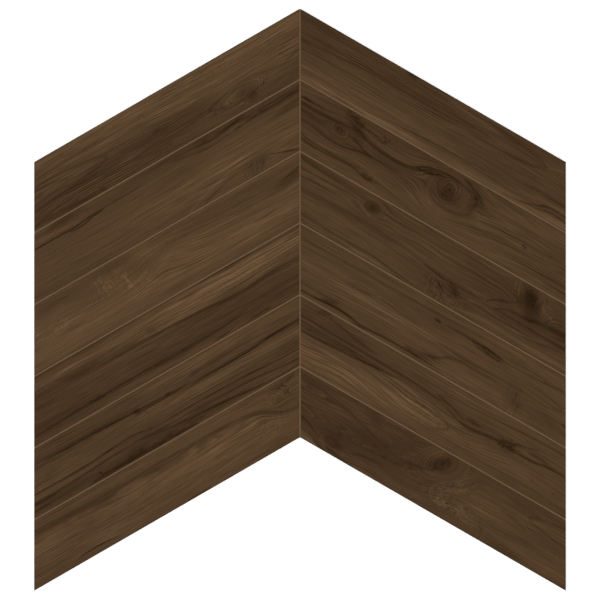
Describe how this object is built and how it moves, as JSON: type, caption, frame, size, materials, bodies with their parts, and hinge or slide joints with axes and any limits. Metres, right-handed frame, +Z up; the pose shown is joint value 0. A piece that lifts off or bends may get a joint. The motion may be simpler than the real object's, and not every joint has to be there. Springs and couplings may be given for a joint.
{
  "type": "chevron porcelain tile",
  "caption": "Flat chevron sheet of wood-look porcelain planks joined edge to edge by a dished filler, for bonding to a floor or wall.",
  "frame": {"origin": "middle of the sheet's outline, on the plane that the planks' backs rest on", "axes": "+Z up out of the printed face, +Y towards the point of the chevron, +X to the right-hand column"},
  "size_m": [0.6948, 0.7602, 0.009],
  "materials": {
    "printed_porcelain": "matt walnut wood print on the face, bare fired body on the sides and back",
    "joint_filler": "fine matt tan joint filler"
  },
  "bodies": {
    "root": {"plank_left_1": "printed_porcelain", "plank_left_2": "printed_porcelain", "plank_left_3": "printed_porcelain", "plank_left_4": "printed_porcelain", "plank_left_5": "printed_porcelain", "plank_left_6": "printed_porcelain", "plank_right_1": "printed_porcelain", "plank_right_2": "printed_porcelain", "plank_right_3": "printed_porcelain", "plank_right_4": "printed_porcelain", "plank_right_5": "printed_porcelain", "plank_right_6": "printed_porcelain", "row_joints_left": "joint_filler", "row_joints_right": "joint_filler", "spine_joint": "joint_filler"}
  },
  "joints": []
}
